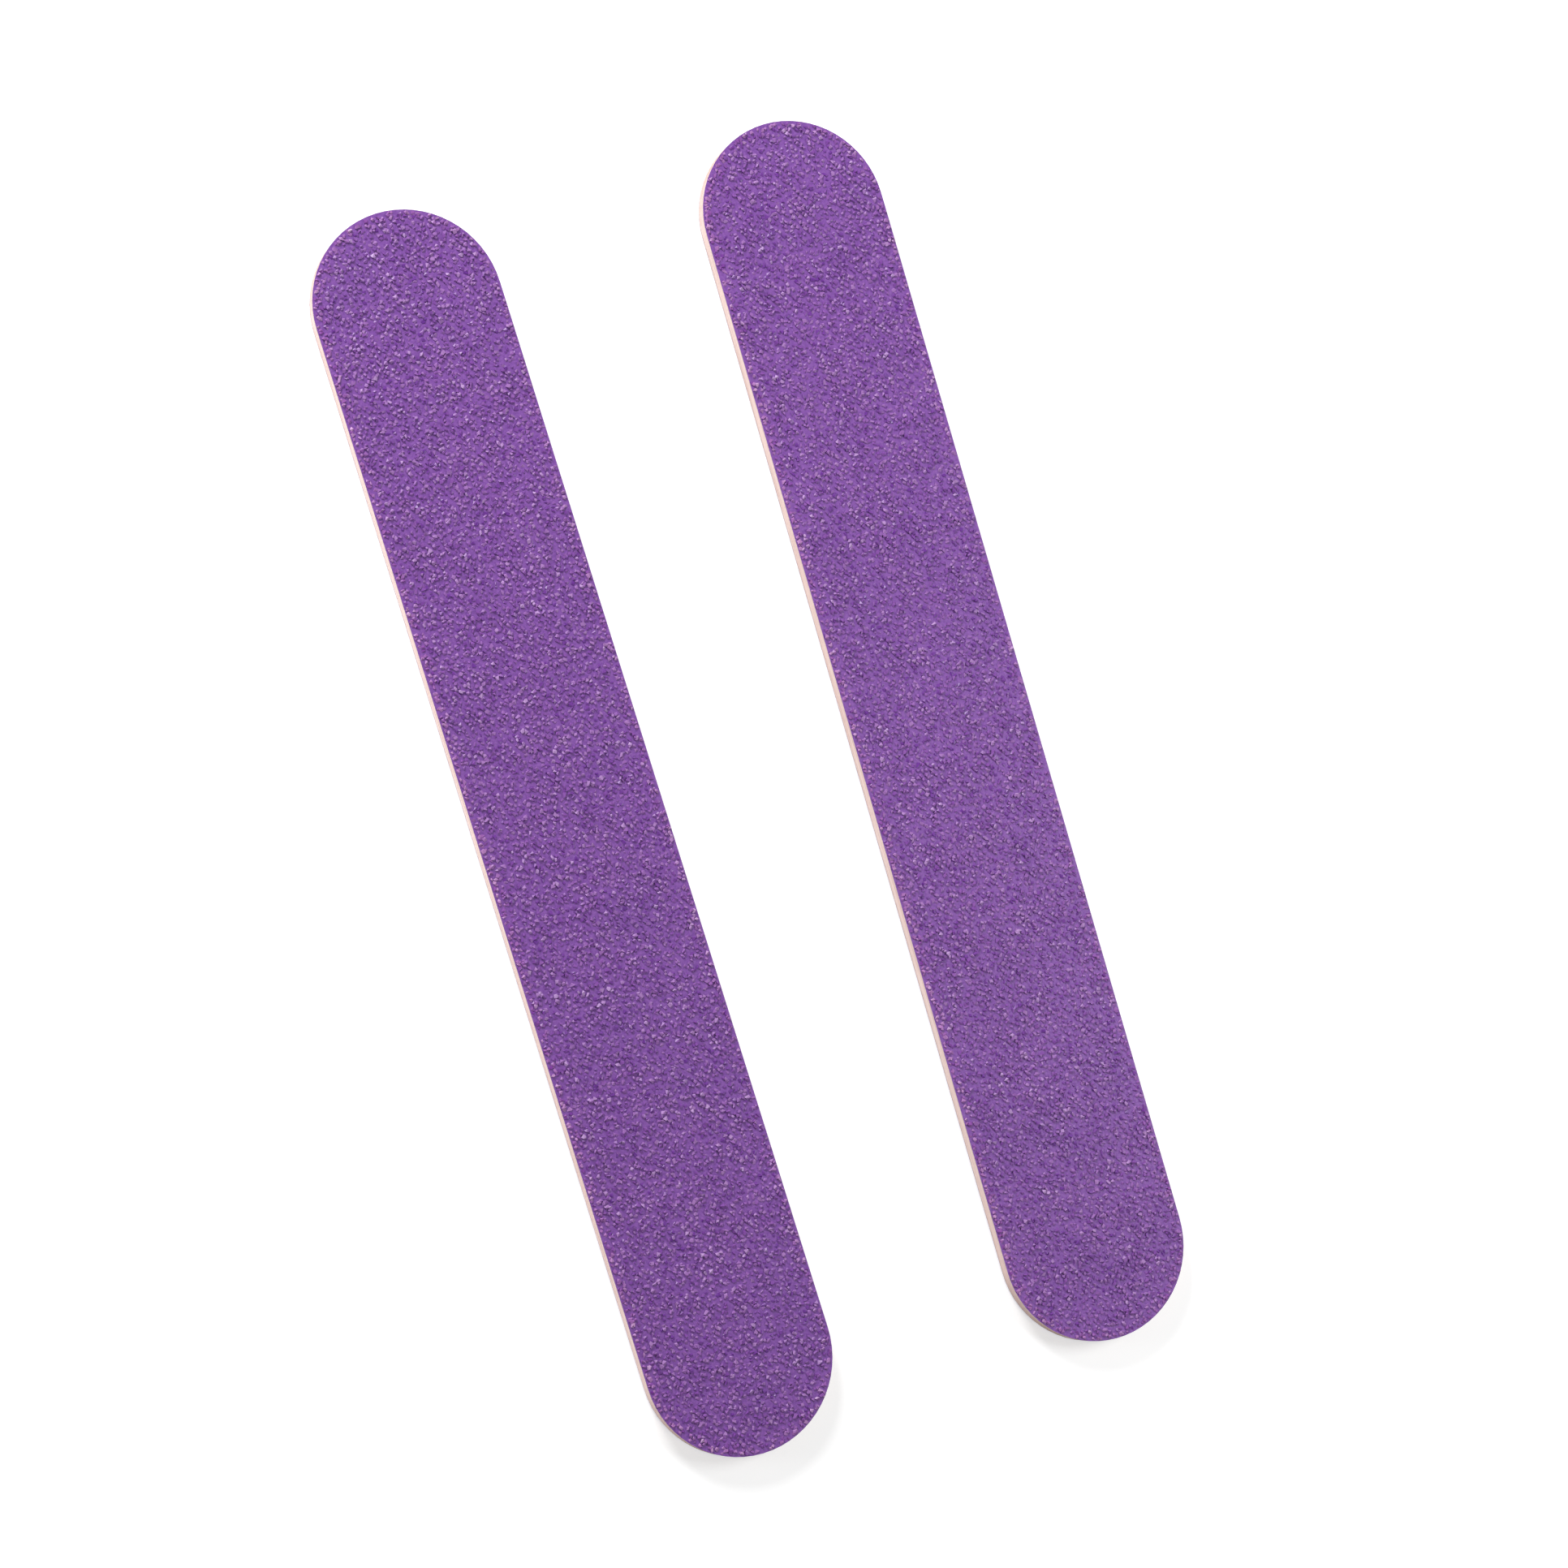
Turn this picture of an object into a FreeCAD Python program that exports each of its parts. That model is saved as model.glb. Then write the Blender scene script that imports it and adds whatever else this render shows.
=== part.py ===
"""Two like emery boards lying side by side.

Each board is a thin wood core with a sheet of abrasive paper glued to either face. The sheet is paper, a resin
bond coat and a layer of grit. All layers are die-cut together, so they share one outline with full-round ends.
Millimetres, +Z up. +Y runs along the boards and +X from the left board to the right one. The origin is the middle
of the pair on the surface that it lies on.
"""

import FreeCAD, Part
import os

# Outline of a board
board_length = 88.0
board_width = 13.2

# Thickness of each layer, from the middle of a board outwards
core_thickness = 0.85
glue_thickness = 0.03
paper_thickness = 0.13
bond_thickness = 0.03
grit_thickness = 0.16

# How the boards lie: the gap between their facing sides at mid-length, how far the right one lies below the left
# one along their length, and the angle by which they open towards +Y
board_gap = 14.3
board_stagger = 0.42
board_splay_deg = 1.35

# The stack of one board, from the face that it lies on to the face that shows
stack = (
    ("lower_grit", grit_thickness),
    ("lower_bond_coat", bond_thickness),
    ("lower_backing_paper", paper_thickness),
    ("lower_glue_film", glue_thickness),
    ("wood_core", core_thickness),
    ("upper_glue_film", glue_thickness),
    ("upper_backing_paper", paper_thickness),
    ("upper_bond_coat", bond_thickness),
    ("upper_grit", grit_thickness),
)

# Each board's side: -1 is the left one, which opens anticlockwise, and 1 the right one
sides = {"left": -1, "right": 1}

up = FreeCAD.Vector(0, 0, 1)


def outline_face():
    """The die-cut outline: two straight sides joined by half circles as wide as the board."""
    end_radius = board_width / 2
    straight = board_length / 2 - end_radius
    tip = board_length / 2
    left_foot = FreeCAD.Vector(-end_radius, -straight, 0)
    left_head = FreeCAD.Vector(-end_radius, straight, 0)
    right_head = FreeCAD.Vector(end_radius, straight, 0)
    right_foot = FreeCAD.Vector(end_radius, -straight, 0)
    edges = (
        Part.LineSegment(left_foot, left_head),
        Part.Arc(left_head, FreeCAD.Vector(0, tip, 0), right_head),
        Part.LineSegment(right_head, right_foot),
        Part.Arc(right_foot, FreeCAD.Vector(0, -tip, 0), left_foot),
    )
    return Part.Face(Part.Wire([edge.toShape() for edge in edges]))


def layer(bottom, thickness):
    """One layer of a board that lies along +Y over the origin, from its bottom height up."""
    solid = outline_face().extrude(up * thickness)
    solid.translate(up * bottom)
    return solid


def place(solid, side):
    """Turns a layer by its half of the splay and moves it to its board's place in the pair."""
    centre = FreeCAD.Vector(board_gap + board_width, -board_stagger, 0) * (side / 2)
    solid.rotate(FreeCAD.Vector(0, 0, 0), up, -side * board_splay_deg / 2)
    solid.translate(centre)
    return solid


def export(name, solid):
    solid.exportStep(f"parts/{name}.step")
    print(f"{name}: {solid.Volume:.2f} mm3, z {solid.BoundBox.ZMin:.2f} to {solid.BoundBox.ZMax:.2f}")


os.makedirs("parts", exist_ok=True)
for board, side in sides.items():
    bottom = 0
    for piece, thickness in stack:
        export(f"{board}_{piece}", place(layer(bottom, thickness), side))
        bottom += thickness
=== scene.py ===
# %% [markdown]
# A pair of emery boards
# Each board is a thin strip of pale wood with a sheet of abrasive paper glued to either face. The sheet
# is paper, a thin coat of purple resin and thousands of purple grains that stand in it. The construction
# is already there as solids, one for each layer, so this lesson loads them, gives the smooth layers their
# finishes and makes the grit, grain by grain, because that is what the eye meets first on such a board.

# %% Load the layers
import math
import random

import bmesh
import bpy
import mathutils
import numpy as np
from mathutils import Euler, Matrix, Vector


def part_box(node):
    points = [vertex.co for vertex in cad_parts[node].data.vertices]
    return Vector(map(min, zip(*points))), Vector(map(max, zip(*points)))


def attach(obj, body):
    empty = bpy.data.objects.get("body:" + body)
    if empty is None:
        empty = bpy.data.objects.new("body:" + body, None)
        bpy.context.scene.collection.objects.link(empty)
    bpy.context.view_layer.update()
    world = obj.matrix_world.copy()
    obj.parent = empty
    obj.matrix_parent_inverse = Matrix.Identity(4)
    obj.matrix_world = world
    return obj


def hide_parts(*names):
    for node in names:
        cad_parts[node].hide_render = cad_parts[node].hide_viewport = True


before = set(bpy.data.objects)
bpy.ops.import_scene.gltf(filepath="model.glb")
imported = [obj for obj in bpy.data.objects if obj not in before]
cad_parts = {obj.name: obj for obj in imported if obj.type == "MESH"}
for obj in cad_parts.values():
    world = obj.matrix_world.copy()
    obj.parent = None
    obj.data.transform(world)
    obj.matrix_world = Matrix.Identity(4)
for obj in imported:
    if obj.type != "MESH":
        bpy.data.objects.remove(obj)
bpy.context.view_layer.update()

MM = 0.001
ORIGIN = Vector((0, 0, 0))
UP = Vector((0, 0, 1))
print("layers:", len(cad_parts))

# %% [markdown]
# Where each board lies
# The two boards lie a little open, like the hands of a clock, so neither is square to the axes. The angle
# could be typed in, but then it would be wrong as soon as a solid changed. The wood core knows it: its
# largest upright face is a straight side, and the way that face looks is straight across the board.

# %% Measure the boards
sides = ("left", "right")
faces = ("lower", "upper")
upright_limit = 0.5


def measure_board(side):
    """A board's place, as a matrix with X across, Y along and Z up, with its half width and half length."""
    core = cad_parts[f"{side}_wood_core"].data
    upright = [face for face in core.polygons if abs(face.normal.z) < upright_limit]
    across = max(upright, key=lambda face: face.area).normal.copy()
    if across.x < 0:
        across.negate()
    along = UP.cross(across)
    low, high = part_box(f"{side}_wood_core")
    centre = (low + high) / 2
    centre.z = 0
    reach = [corner.co - centre for corner in core.vertices]
    return {
        "place": Matrix.Translation(centre) @ Matrix((across, along, UP)).transposed().to_4x4(),
        "turn": math.atan2(across.y, across.x),
        "half_width": max(abs(spot.dot(across)) for spot in reach),
        "half_length": max(abs(spot.dot(along)) for spot in reach),
    }


boards = {side: measure_board(side) for side in sides}
for side, board in boards.items():
    print(side, "board turned", round(math.degrees(board["turn"]), 2), "degrees, half width",
          round(board["half_width"] / MM, 2), "mm, half length", round(board["half_length"] / MM, 2), "mm")

# %% [markdown]
# Helpers for finishes
# Every finish here is a node material around one Principled shader, and its patterns are noise read on
# Object coordinates, in metres. A few short helpers keep the recipes readable: one starts a material, one
# adds a node, one reads noise at a size given in millimetres and one turns a number into a colour.

# %% Finish helpers
noise_middle = (0.3, 0.7)


def start_finish(name):
    """A new node material, with its tree and its Principled shader."""
    material = bpy.data.materials.new(name)
    material.use_nodes = True
    return material, material.node_tree, material.node_tree.nodes["Principled BSDF"]


def add_node(tree, kind, settings=None, inputs=None):
    """A node with its settings and the values of its unlinked sockets."""
    node = tree.nodes.new(kind)
    for name, value in (settings or {}).items():
        setattr(node, name, value)
    for name, value in (inputs or {}).items():
        node.inputs[name].default_value = value
    return node


def noise(tree, size_mm, detail=3.0, turn=0.0):
    """The value of a noise pattern whose spots are about size_mm long in X, Y and Z, turned about Z."""
    place = add_node(tree, "ShaderNodeTexCoord")
    mapping = add_node(tree, "ShaderNodeMapping", {"vector_type": "TEXTURE"})
    mapping.inputs["Rotation"].default_value = (0, 0, turn)
    mapping.inputs["Scale"].default_value = [size * MM for size in size_mm]
    spots = add_node(tree, "ShaderNodeTexNoise", inputs={"Scale": 1.0, "Detail": detail})
    tree.links.new(place.outputs["Object"], mapping.inputs["Vector"])
    tree.links.new(mapping.outputs["Vector"], spots.inputs["Vector"])
    return spots.outputs["Fac"]


def colours(tree, value, stops):
    """A colour ramp over value: stops are (position, linear red, green, blue)."""
    ramp = add_node(tree, "ShaderNodeValToRGB")
    marks = ramp.color_ramp.elements
    while len(marks) < len(stops):
        marks.new(1.0)
    for mark, (position, *colour) in zip(marks, stops):
        mark.position = position
        mark.color = (*colour, 1.0)
    tree.links.new(value, ramp.inputs["Fac"])
    return ramp.outputs["Color"]


def spread(tree, value, low, high):
    """The middle of a noise pattern, where most of its values lie, spread from low to high."""
    scale = add_node(tree, "ShaderNodeMapRange")
    scale.inputs["From Min"].default_value, scale.inputs["From Max"].default_value = noise_middle
    scale.inputs["To Min"].default_value = low
    scale.inputs["To Max"].default_value = high
    tree.links.new(value, scale.inputs["Value"])
    return scale.outputs["Result"]


def mixed(tree, blend, share, first, second):
    """Two colours mixed by a blend mode."""
    mix = add_node(tree, "ShaderNodeMix", {"data_type": "RGBA", "blend_type": blend})
    mix.inputs["Factor"].default_value = share
    tree.links.new(first, mix.inputs["A"])
    tree.links.new(second, mix.inputs["B"])
    return mix.outputs["Result"]


def raised(tree, shader, height, depth_mm):
    """Bump on the shader from a height pattern, depth_mm from its lowest to its highest value."""
    bump = add_node(tree, "ShaderNodeBump", inputs={"Strength": 1.0, "Distance": depth_mm * MM})
    tree.links.new(height, bump.inputs["Height"])
    tree.links.new(bump.outputs["Normal"], shader.inputs["Normal"])


print("helpers ready")

# %% [markdown]
# The wood core
# The core is a veneer of pale, slightly pink wood, and all that shows of it is the cut edge, a bright
# line round the board. Wood is a bundle of long fibres, so its pattern is noise stretched along the
# board: on the straight sides it reads as streaks, and round the ends, where the fibres are cut through,
# the same pattern shows as dots. One solid pattern gives both, which a flat picture of wood could not.
# Cut fibres also swallow light, so the wood darkens as its edge turns to face along the board.

# %% Finish the wood core
fibre_size_mm = (0.10, 4.0, 0.10)
ring_size_mm = (0.9, 30.0, 0.45)
fibre_relief_mm = 0.04
wood_roughness = (0.55, 0.8)
wood_gloss = 0.35


def cut_through(tree, side):
    """1 where a surface faces along the board and cuts its fibres through, 0 on the straight sides."""
    facing = add_node(tree, "ShaderNodeNewGeometry")
    along = add_node(tree, "ShaderNodeVectorMath", {"operation": "DOT_PRODUCT"})
    along.inputs[1].default_value = boards[side]["place"].col[1].xyz
    tree.links.new(facing.outputs["Normal"], along.inputs[0])
    share = add_node(tree, "ShaderNodeMath", {"operation": "ABSOLUTE"})
    tree.links.new(along.outputs["Value"], share.inputs[0])
    return share.outputs["Value"]


def pale_wood(side):
    material, tree, shader = start_finish(f"{side}_pale_wood")
    turn = boards[side]["turn"]
    fibres = noise(tree, fibre_size_mm, detail=4.0, turn=turn)
    rings = noise(tree, ring_size_mm, detail=2.0, turn=turn)
    fibre_colour = colours(tree, fibres, (
        (0.28, 0.66, 0.47, 0.42),
        (0.42, 0.83, 0.63, 0.58),
        (0.55, 0.89, 0.71, 0.66),
        (0.75, 0.94, 0.78, 0.73)))
    ring_colour = colours(tree, rings, (
        (0.35, 0.92, 0.87, 0.85),
        (0.60, 1.00, 1.00, 1.00)))
    wood_colour = mixed(tree, "MULTIPLY", 1.0, fibre_colour, ring_colour)
    end_colour = colours(tree, cut_through(tree, side), (
        (0.08, 1.00, 1.00, 1.00),
        (0.70, 0.68, 0.61, 0.56)))
    wood_colour = mixed(tree, "MULTIPLY", 1.0, wood_colour, end_colour)
    tree.links.new(wood_colour, shader.inputs["Base Color"])
    tree.links.new(spread(tree, fibres, *wood_roughness), shader.inputs["Roughness"])
    shader.inputs["Specular IOR Level"].default_value = wood_gloss
    raised(tree, shader, fibres, fibre_relief_mm)
    return material


wood_finishes = {side: pale_wood(side) for side in sides}
print("wood finishes:", [material.name for material in wood_finishes.values()])

# %% [markdown]
# Paper and glue
# Between the wood and the resin lie a sheet of backing paper and a film of glue, seen only as fine lines
# in the cut edge. The paper is pale, with a breath of pink from the dyed resin above it, and its short
# fibres lie every way in the sheet. The glue is a thin amber line.

# %% Finish the paper and the glue
paper_fibre_mm = (0.30, 0.30, 0.03)
paper_relief_mm = 0.02
paper_roughness = (0.75, 0.95)
glue_pool_mm = (0.8, 0.8, 0.1)
glue_roughness = (0.3, 0.5)


def backing_paper():
    material, tree, shader = start_finish("pale_backing_paper")
    fibres = noise(tree, paper_fibre_mm, detail=5.0)
    paper_colour = colours(tree, fibres, (
        (0.30, 0.56, 0.41, 0.38),
        (0.50, 0.69, 0.53, 0.49),
        (0.70, 0.77, 0.63, 0.58)))
    tree.links.new(paper_colour, shader.inputs["Base Color"])
    tree.links.new(spread(tree, fibres, *paper_roughness), shader.inputs["Roughness"])
    raised(tree, shader, fibres, paper_relief_mm)
    return material


def dried_glue():
    material, tree, shader = start_finish("amber_glue")
    pools = noise(tree, glue_pool_mm, detail=3.0)
    glue_colour = colours(tree, pools, (
        (0.30, 0.62, 0.44, 0.34),
        (0.70, 0.82, 0.67, 0.57)))
    tree.links.new(glue_colour, shader.inputs["Base Color"])
    tree.links.new(spread(tree, pools, *glue_roughness), shader.inputs["Roughness"])
    return material


paper_finish = backing_paper()
glue_finish = dried_glue()
print("edge finishes:", paper_finish.name, glue_finish.name)

# %% [markdown]
# The bond coat
# The grains stand in a coat of purple resin, which shows as the dark floor of the pits between them. It
# set as a liquid and has a soft gloss. It climbs a little up each grain, so a fine bump breaks up its
# flatness.

# %% Finish the bond coat
ripple_size_mm = (0.18, 0.18, 0.18)
ripple_relief_mm = 0.03
resin_roughness = (0.35, 0.5)


def bond_resin():
    material, tree, shader = start_finish("purple_bond_resin")
    ripples = noise(tree, ripple_size_mm, detail=3.0)
    resin_colour = colours(tree, ripples, (
        (0.30, 0.156, 0.044, 0.285),
        (0.70, 0.224, 0.079, 0.360)))
    tree.links.new(resin_colour, shader.inputs["Base Color"])
    tree.links.new(spread(tree, ripples, *resin_roughness), shader.inputs["Roughness"])
    raised(tree, shader, ripples, ripple_relief_mm)
    return material


resin_finish = bond_resin()
print("resin finish:", resin_finish.name)

# %% [markdown]
# Dressing the layers
# Each solid came in with one material slot. Its shape stays as it is, and only the material in that slot
# changes. The two boards share every finish but the wood, whose streaks have to run along the board that
# they are in.

# %% Put the finishes on the layers
layer_finishes = {"backing_paper": paper_finish, "glue_film": glue_finish, "bond_coat": resin_finish}
for side in sides:
    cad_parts[f"{side}_wood_core"].material_slots[0].material = wood_finishes[side]
    for face in faces:
        for layer, finish in layer_finishes.items():
            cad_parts[f"{side}_{face}_{layer}"].material_slots[0].material = finish
print("layers finished:", len(sides) * (1 + len(faces) * len(layer_finishes)))

# %% [markdown]
# Shapes for the grains
# An abrasive grain is a crushed crystal: a few flat faces, sharp corners and no two alike. Bump on a flat
# sheet would look right from above, but its outline would stay flat and no grain would shade the next. So
# the grains are modelled. There are many thousands, so each one must be cheap: a double cone of four,
# five or six sides has eight to twelve faces, and knocking its corners about by chance turns it into a
# crystal. A small set of such shapes, turned and stretched anew each time, is enough to hide that they
# repeat.

# %% Shape the grains
grain_shape_count = 30
cone_sides = (4, 5, 6)
corner_knock = 0.40


def crushed_grain(number):
    """One grain within a unit radius of the Z axis and a unit height either way."""
    dice = random.Random(number)
    grain = bmesh.new()
    sides_here = cone_sides[number % len(cone_sides)]
    bmesh.ops.create_uvsphere(grain, u_segments=sides_here, v_segments=2, radius=1.0)
    for corner in grain.verts:
        corner.co += corner_knock * Vector([dice.uniform(-1, 1) for axis in range(3)])
    any_way = Euler([dice.uniform(0, 2 * math.pi) for axis in range(3)]).to_matrix()
    bmesh.ops.rotate(grain, cent=ORIGIN, matrix=any_way, verts=grain.verts)
    lowest = min(corner.co.z for corner in grain.verts)
    highest = max(corner.co.z for corner in grain.verts)
    bmesh.ops.translate(grain, vec=-UP * (lowest + highest) / 2, verts=grain.verts)
    reach = max(corner.co.xy.length for corner in grain.verts)
    bmesh.ops.scale(grain, vec=(1 / reach, 1 / reach, 2 / (highest - lowest)), verts=grain.verts)
    bmesh.ops.recalc_face_normals(grain, faces=grain.faces)
    shape = bpy.data.meshes.new(f"grain_shape_{number}")
    grain.to_mesh(shape)
    grain.free()
    return shape


grain_shapes = [crushed_grain(number) for number in range(grain_shape_count)]
print("grain shapes:", len(grain_shapes))
print("faces of a grain:", sorted({len(shape.polygons) for shape in grain_shapes}))

# %% [markdown]
# Sowing the grit
# On the real sheet the grains fall on wet resin and settle about one grain apart. Points by pure chance
# would clump too much, and a plain grid would show its rows, so the grains start on a honeycomb grid and
# each is nudged by chance. They don't all sink alike: where the resin lay thick whole patches of them are
# half drowned, so a soft field of chance values says how far the grains of a patch stand out. A grain
# that would hang over the cut edge is pulled back until it just reaches it, and its distance from that
# edge is kept, because the edge is where a board wears first.

# %% Sow the grains
grain_pitch = 0.35 * MM
grain_nudge_share = 0.40
grain_radius_shares = (0.44, 0.72)
patch_size = 1.3 * MM
patch_share = 0.8
patch_field_span = 100


def sown_spots(board, dice):
    """Places for the grains over one face, as (x across, y along, radius, rise, distance from the rim)."""
    row_step = grain_pitch * math.sqrt(3) / 2
    rows = math.ceil(board["half_length"] / row_step)
    columns = math.ceil(board["half_width"] / grain_pitch)
    straight = board["half_length"] - board["half_width"]
    patch_start = Vector([dice.uniform(0, patch_field_span) for axis in range(3)])
    spots = []
    for row in range(-rows, rows + 1):
        for column in range(-columns, columns + 1):
            x = (column + 0.5 * (row % 2)) * grain_pitch
            y = row * row_step
            x += dice.uniform(-1, 1) * grain_nudge_share * grain_pitch
            y += dice.uniform(-1, 1) * grain_nudge_share * grain_pitch
            radius = dice.uniform(*grain_radius_shares) * grain_pitch
            patch = mathutils.noise.noise(patch_start + Vector((x, y, 0)) / patch_size)
            rise = max(0.0, min(1.0, dice.random() + patch_share * patch))
            spine = Vector((0, max(-straight, min(straight, y))))
            outward = Vector((x, y)) - spine
            limit = board["half_width"] - radius
            if outward.length > limit + grain_pitch / 2:
                continue
            if outward.length > limit:
                outward *= limit / outward.length
            rim = board["half_width"] - outward.length
            spots.append((*(spine + outward), radius, rise, rim))
    return spots


spots = {}
for side, board in boards.items():
    for face in faces:
        spots[side, face] = sown_spots(board, random.Random(f"{side} {face} spots"))
print("grains:", {f"{side} {face}": len(found) for (side, face), found in spots.items()})

# %% [markdown]
# One mesh for each face of grit
# Thousands of objects would be slow to draw, so all the grains of a face go into one mesh: a copy of a
# shape is moved to each spot and added. The mesh also carries three things for its finish. The first is a
# tint, one number for each grain. It is partly chance, so that whole grains differ in colour, and partly
# painted light, so that grains that stand low are painted darker as shade and tall ones paler as if lit.
# The second is a wear value that rises towards the rim, most of all on the left, where the rim is palest
# in the photograph. The third is a map with a square of its own for each grain, so that a painted copy of
# the finish can keep those colours apart.

# %% Build the grit
lowest_height_share = 0.50
grain_width_shares = (0.65, 1.0)
# The share of a grain's tint that is painted light: low grains are painted darker as shade, tall ones
# paler.
painted_light_rise_share = 0.25
wear_width = 0.9 * MM
wear_shares = (0.7, 1.0)
resting_edge_share = 0.5
map_fill_share = 0.35


def grit_mesh(name, board, face, found, bottom, top):
    """All the grains of a face in one mesh, standing between the heights bottom and top."""
    dice = random.Random(name)
    upside = Matrix.Rotation(0 if face == "upper" else math.pi, 4, "Y")
    middle = Matrix.Translation(UP * (bottom + top) / 2)
    grit = bmesh.new()
    picked = []
    for x, y, radius, rise, rim in found:
        number = dice.randrange(grain_shape_count)
        half_height = (lowest_height_share + rise * (1 - lowest_height_share)) * (top - bottom) / 2
        sunk = half_height - (top - bottom) / 2
        spin = Matrix.Rotation(dice.uniform(0, 2 * math.pi), 4, "Z")
        stretch = Matrix.Diagonal((radius, dice.uniform(*grain_width_shares) * radius, half_height, 1.0))
        grain = grain_shapes[number].copy()
        moved = Matrix.Translation((x, y, sunk))
        grain.transform(board["place"] @ middle @ upside @ moved @ spin @ stretch)
        grit.from_mesh(grain)
        bpy.data.meshes.remove(grain)
        picked.append(number)
    mesh = bpy.data.meshes.new(name)
    grit.to_mesh(mesh)
    grit.free()
    mark_grains(mesh, picked, found, board["half_width"], dice)
    map_grains(mesh, picked)
    return mesh


def for_each_corner(values, picked):
    """One value for each grain, repeated for all the corners of that grain."""
    return np.repeat(values, [len(grain_shapes[number].vertices) for number in picked], axis=0)


def mark_grains(mesh, picked, found, half_width, dice):
    """For each grain a tint, partly chance and partly painted light by its rise, and a wear strongest at
    the rim.
    """
    tints_and_painted_light = []
    wears = []
    for x, y, radius, rise, rim in found:
        # The rise part of the tint is painted light: low grains get painted shade, tall grains are painted
        # paler.
        tints_and_painted_light.append(dice.random() * (1 - painted_light_rise_share) + rise * painted_light_rise_share)
        edge_use = resting_edge_share + (1 - resting_edge_share) * (0.5 - 0.5 * x / half_width)
        wears.append(edge_use * max(0.0, 1 - rim / wear_width) * dice.uniform(*wear_shares))
    for name, values in (("tint_and_painted_light", tints_and_painted_light), ("wear", wears)):
        marks = mesh.attributes.new(name, "FLOAT", "POINT")
        marks.data.foreach_set("value", for_each_corner(values, picked).astype(np.float32))


def map_grains(mesh, picked):
    """A map with a square for each grain, holding the grain seen from above."""
    outlines = [np.array([corner.co.xy for corner in shape.vertices]) for shape in grain_shapes]
    squares = math.ceil(math.sqrt(len(picked)))
    order = np.arange(len(picked))
    middles = np.stack((order % squares, order // squares), axis=1) + 0.5
    within = np.concatenate([outlines[number] for number in picked])
    flat = (for_each_corner(middles, picked) + map_fill_share * within) / squares
    corners = np.empty(len(mesh.loops), dtype=np.int32)
    mesh.loops.foreach_get("vertex_index", corners)
    grain_map = mesh.uv_layers.new(name="OFBake")
    grain_map.data.foreach_set("uv", flat[corners].ravel().astype(np.float32))


def build_grit(side, face):
    """The grit on one face of a board, from the bottom of the bond coat to the tallest grains' tips."""
    low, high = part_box(f"{side}_{face}_grit")
    bond_low, bond_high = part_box(f"{side}_{face}_bond_coat")
    bottom = min(low.z, bond_low.z)
    top = max(high.z, bond_high.z)
    name = f"{side}_{face}_emery"
    mesh = grit_mesh(name, boards[side], face, spots[side, face], bottom, top)
    emery = bpy.data.objects.new(name, mesh)
    bpy.context.scene.collection.objects.link(emery)
    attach(emery, f"{side}_board")
    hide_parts(f"{side}_{face}_grit")
    return emery


emeries = [build_grit(side, face) for side, face in spots]
for shape in grain_shapes:
    bpy.data.meshes.remove(shape)
for emery in emeries:
    print(emery.name, "faces:", len(emery.data.polygons))

# %% [markdown]
# The purple of the grains
# The grains are dyed with the resin that also runs over them as a thin top coat, so most are a middling
# purple, some are darker and a few have shed part of it and show lilac. The tint that picks each grain's
# colour is partly chance and partly painted light: grains that stand low among the others are painted
# darker, as shade, and tall ones paler, as if lit. A ramp over the tint gives each grain its colour, worn
# grains near the rim turn paler and pinker, and a broad, faint noise stops the face from being too even.
# The coat is half glossy: a facet that happens to mirror a lamp lights up, and that makes the fine flecks.

# %% Finish the grit
cloud_size_mm = (4.0, 4.0, 4.0)
grit_roughness = (0.41, 0.51)
grit_gloss = 0.45


def purple_grit():
    material, tree, shader = start_finish("purple_emery_grit")
    tint_and_painted_light = add_node(tree, "ShaderNodeAttribute", {"attribute_name": "tint_and_painted_light"})
    # The tint is partly painted light, so this ramp paints low grains darker as shade and tall ones paler.
    grain_colour = colours(tree, tint_and_painted_light.outputs["Fac"], (
        (0.05, 0.118, 0.016, 0.244),
        (0.35, 0.209, 0.065, 0.327),
        (0.65, 0.266, 0.106, 0.372),
        (0.86, 0.330, 0.161, 0.428),
        (0.98, 0.415, 0.246, 0.520)))
    wear = add_node(tree, "ShaderNodeAttribute", {"attribute_name": "wear"})
    worn_colour = colours(tree, wear.outputs["Fac"], (
        (0.00, 1.00, 1.00, 1.00),
        (1.00, 1.50, 1.50, 1.12)))
    cloud = noise(tree, cloud_size_mm, detail=4.0)
    cloud_colour = colours(tree, cloud, (
        (0.28, 0.84, 0.83, 0.89),
        (0.50, 0.96, 0.94, 0.95),
        (0.72, 1.00, 1.00, 1.00)))
    grain_colour = mixed(tree, "MULTIPLY", 1.0, grain_colour, worn_colour)
    tree.links.new(mixed(tree, "MULTIPLY", 1.0, grain_colour, cloud_colour), shader.inputs["Base Color"])
    tree.links.new(spread(tree, tint_and_painted_light.outputs["Fac"], *grit_roughness), shader.inputs["Roughness"])
    shader.inputs["Specular IOR Level"].default_value = grit_gloss
    return material


grit_finish = purple_grit()
for emery in emeries:
    emery.data.materials.append(grit_finish)
print("grit finish:", grit_finish.name)

# %% [markdown]
# The floor
# The pair lies on plain white. A white floor in plain light renders as pale grey, so rays from the camera
# see an extra glow on it, which lifts it to white and still leaves the boards' shadow. Far out, the
# floor fades to pure white, so that no horizon shows from low down.

# %% Lay the floor
floor_radius = 900 * MM
floor_corners = 96
floor_cloud_mm = (40.0, 40.0, 40.0)
floor_white = 0.70
floor_drift = 0.01
floor_glow = 0.54
fade_start = 70 * MM
fade_end = 180 * MM


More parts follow.
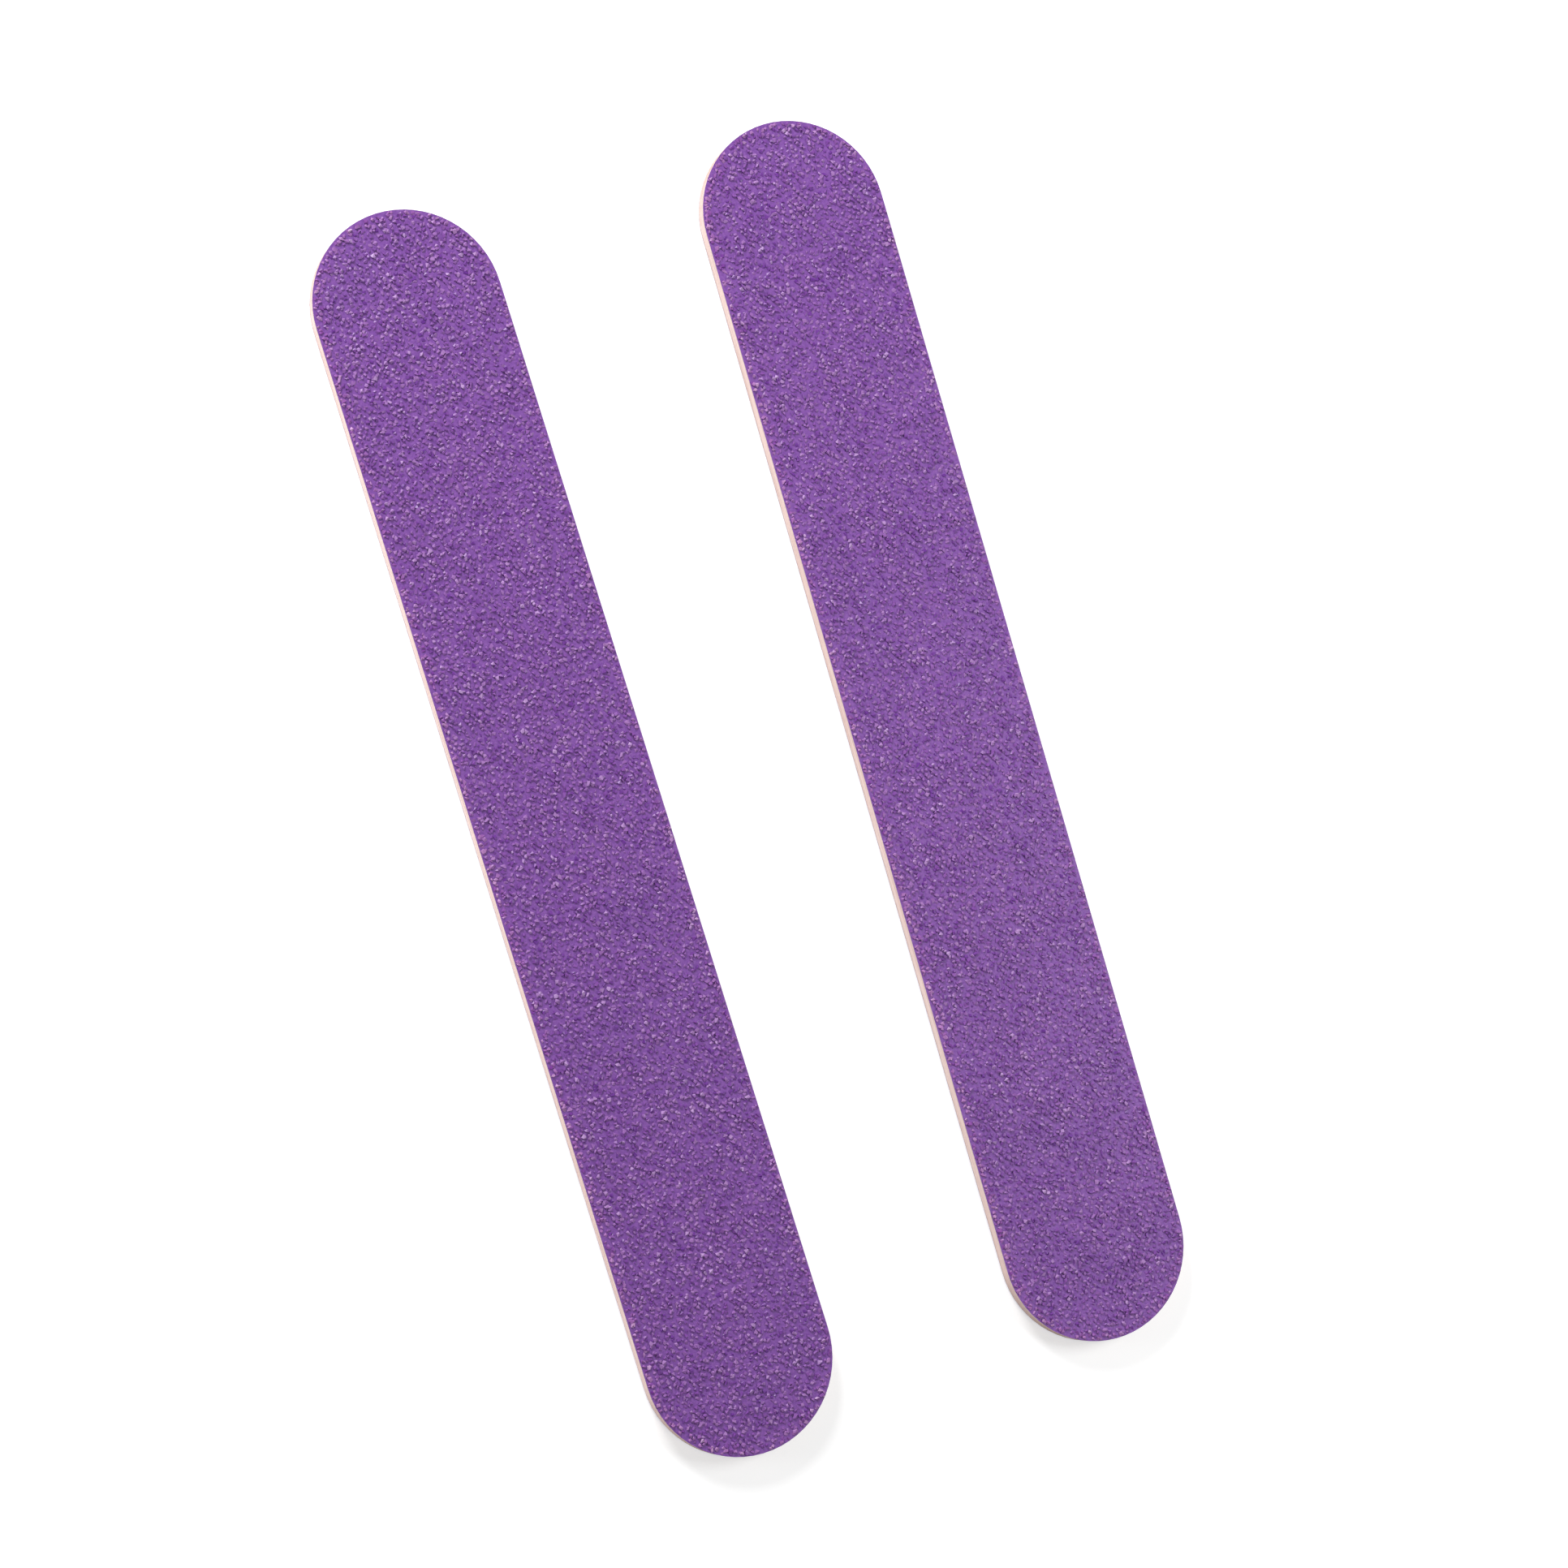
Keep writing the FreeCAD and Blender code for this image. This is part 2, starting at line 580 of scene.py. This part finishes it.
def seen_rays(tree):
    """1 for rays from the camera or out of a gloss or a glass, and 0 for the rays that light things."""
    path = add_node(tree, "ShaderNodeLightPath")
    seen = path.outputs["Is Camera Ray"]
    for ray in ("Is Glossy Ray", "Is Transmission Ray"):
        either = add_node(tree, "ShaderNodeMath", {"operation": "MAXIMUM"})
        tree.links.new(seen, either.inputs[0])
        tree.links.new(path.outputs[ray], either.inputs[1])
        seen = either.outputs["Value"]
    return seen


def floor_finish():
    material, tree, shader = start_finish("white_floor")
    cloud = noise(tree, floor_cloud_mm, detail=2.0)
    whites = (floor_white, floor_white + floor_drift)
    white = colours(tree, cloud, [(spot, level, level, level) for spot, level in zip(noise_middle, whites)])
    paint = add_node(tree, "ShaderNodeBsdfDiffuse")
    tree.links.new(white, paint.inputs["Color"])
    place = add_node(tree, "ShaderNodeTexCoord")
    away = add_node(tree, "ShaderNodeVectorMath", {"operation": "LENGTH"})
    tree.links.new(place.outputs["Object"], away.inputs[0])
    fade = add_node(tree, "ShaderNodeMapRange", {"interpolation_type": "SMOOTHSTEP"})
    fade.inputs["From Min"].default_value = fade_start
    fade.inputs["From Max"].default_value = fade_end
    tree.links.new(away.outputs["Value"], fade.inputs["Value"])
    glow = add_node(tree, "ShaderNodeEmission")
    seen = seen_rays(tree)
    seen_glow = add_node(tree, "ShaderNodeMath", {"operation": "MULTIPLY"}, {1: floor_glow})
    tree.links.new(seen, seen_glow.inputs[0])
    tree.links.new(seen_glow.outputs["Value"], glow.inputs["Strength"])
    lit = add_node(tree, "ShaderNodeAddShader")
    tree.links.new(paint.outputs["BSDF"], lit.inputs[0])
    tree.links.new(glow.outputs["Emission"], lit.inputs[1])
    far = add_node(tree, "ShaderNodeEmission", inputs={"Strength": 1.0})
    far_share = add_node(tree, "ShaderNodeMath", {"operation": "MULTIPLY"})
    tree.links.new(fade.outputs["Result"], far_share.inputs[0])
    tree.links.new(seen, far_share.inputs[1])
    both = add_node(tree, "ShaderNodeMixShader")
    tree.links.new(far_share.outputs["Value"], both.inputs["Fac"])
    tree.links.new(lit.outputs["Shader"], both.inputs[1])
    tree.links.new(far.outputs["Emission"], both.inputs[2])
    tree.nodes.remove(shader)
    tree.links.new(both.outputs["Shader"], tree.nodes["Material Output"].inputs["Surface"])
    return material


disc = bmesh.new()
bmesh.ops.create_circle(disc, cap_ends=True, segments=floor_corners, radius=floor_radius)
floor_mesh = bpy.data.meshes.new("floor")
disc.to_mesh(floor_mesh)
disc.free()
floor = bpy.data.objects.new("floor", floor_mesh)
bpy.context.scene.collection.objects.link(floor)
floor_mesh.materials.append(floor_finish())
print("floor radius in mm:", round(floor_radius / MM))

# %% [markdown]
# The camera
# The photograph was taken from nearly straight above, leaning a little to the left, so the left edge of
# each board shows as a thin pale line. The lean, its direction, the distance and the turn of the picture
# are each one number, so the camera is built from them rather than pointed by hand.

# %% Set up the camera
picture_side = 1932
sensor_width_mm = 36.0
focal_pixels = 5200
camera_lean = math.radians(16.635)
camera_lean_way = math.radians(184.108)
camera_distance = 290.0 * MM
camera_aim = Vector((1.400, -0.813, 1.55)) * MM
picture_turn = math.radians(17.44)
nearest_seen = 10 * MM

back = Vector((math.sin(camera_lean) * math.cos(camera_lean_way),
               math.sin(camera_lean) * math.sin(camera_lean_way),
               math.cos(camera_lean)))
picture_right = Vector((math.sin(picture_turn), math.cos(picture_turn), 0)).cross(back).normalized()
picture_up = back.cross(picture_right)
lens = bpy.data.cameras.new("camera")
lens.sensor_width = sensor_width_mm
lens.lens = sensor_width_mm * focal_pixels / picture_side
lens.clip_start = nearest_seen
camera = bpy.data.objects.new("camera", lens)
bpy.context.scene.collection.objects.link(camera)
camera.matrix_world = (Matrix.Translation(camera_aim + back * camera_distance)
                       @ Matrix((picture_right, picture_up, back)).transposed().to_4x4())
bpy.context.scene.camera = camera
print("camera at mm:", [round(value / MM, 1) for value in camera.matrix_world.translation])

# %% [markdown]
# The light
# The photograph has soft light that comes along the boards from beyond its top, slanting enough for each
# grain to have a bright and a dark side. The right board and the pale edges on the left are a little
# brighter than that one lamp would make them. So there are four sources: an even white surround, a main
# lamp at the top, a nearer, higher one on the right and a low one on the left. Each lamp's power comes
# from the level that it should give a white surface lying flat at the middle of the boards, where 1 is
# white. A lamp's direction is counted from the picture's right, anticlockwise.

# %% Set up the light
surround_level = 0.24
flat_up = Vector((math.sin(picture_turn), math.cos(picture_turn), 0))
flat_right = flat_up.cross(UP)


def soft_lamp(name, way, height_share, distance, size, level):
    """A round lamp that stands off in a flat direction, at a height that is a share of its distance."""
    flat_way = flat_right * math.cos(way) + flat_up * math.sin(way)
    flat_share = math.sqrt(1 - height_share * height_share)
    stand = (flat_way * flat_share + UP * height_share) * distance
    lamp = bpy.data.lights.new(name, "AREA")
    lamp.shape = "DISK"
    lamp.size = size
    lamp.energy = level / height_share * (math.pi * distance) ** 2
    holder = bpy.data.objects.new(name, lamp)
    bpy.context.scene.collection.objects.link(holder)
    holder.location = stand
    holder.rotation_euler = stand.to_track_quat("Z", "Y").to_euler()
    holder.visible_camera = False
    print(name, "watts:", round(lamp.energy, 3))


soft_lamp("top_lamp", way=math.radians(120), height_share=0.45,
          distance=320 * MM, size=120 * MM, level=0.505)
soft_lamp("right_lamp", way=math.radians(5), height_share=0.65,
          distance=170 * MM, size=80 * MM, level=0.287)
soft_lamp("left_lamp", way=math.radians(190), height_share=0.15,
          distance=160 * MM, size=60 * MM, level=0.060)

surround = bpy.data.worlds.new("white_surround")
surround.use_nodes = True
bpy.context.scene.world = surround
tree = surround.node_tree
glow = tree.nodes["Background"]
glow.inputs["Color"].default_value = (1, 1, 1, 1)
strength = add_node(tree, "ShaderNodeMapRange", inputs={"To Min": surround_level, "To Max": 1.0})
tree.links.new(seen_rays(tree), strength.inputs["Value"])
tree.links.new(strength.outputs["Result"], glow.inputs["Strength"])
bpy.context.scene.view_settings.view_transform = "Standard"
print("surround level:", surround_level)
